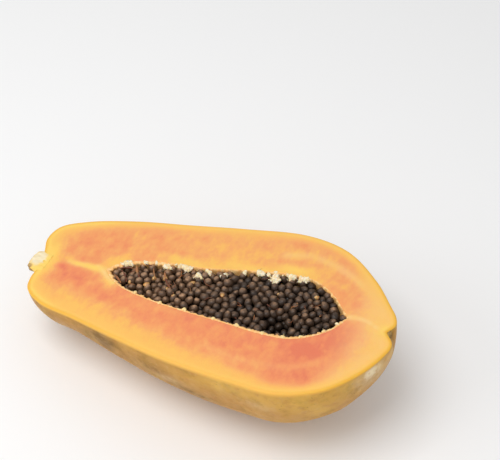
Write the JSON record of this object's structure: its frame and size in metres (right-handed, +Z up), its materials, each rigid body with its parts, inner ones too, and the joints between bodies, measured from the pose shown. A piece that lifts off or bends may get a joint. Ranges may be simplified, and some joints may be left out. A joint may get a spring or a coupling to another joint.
{
  "type": "papaya half",
  "caption": "Half a ripe papaya cut lengthwise, lying cut face up, with its seed-filled cavity, pale placenta lining and the stub of its stalk.",
  "frame": {"origin": "on the surface that the half lies on, under the middle of its bounding box", "axes": "+X from the stem end to the blossom end, +Y across the fruit, +Z up, out of the cut face but for its tilt of 8.5 degrees"},
  "size_m": [0.2472, 0.1294, 0.0826],
  "materials": {
    "fruit": "moist salmon-orange flesh with a yellow margin, inside a thin waxy yellow to olive-tan rind",
    "placenta": "soft pale cream tissue, ragged where the seeds hang from it",
    "seeds": "wrinkled dark brown-black seeds in a thin wet jelly skin",
    "stalk_stub": "cream fibrous cut core with a thin dry brown bark"
  },
  "bodies": {
    "root": {"fruit": "fruit", "placenta": "placenta", "seeds": "seeds", "stalk_stub": "stalk_stub"}
  },
  "joints": []
}
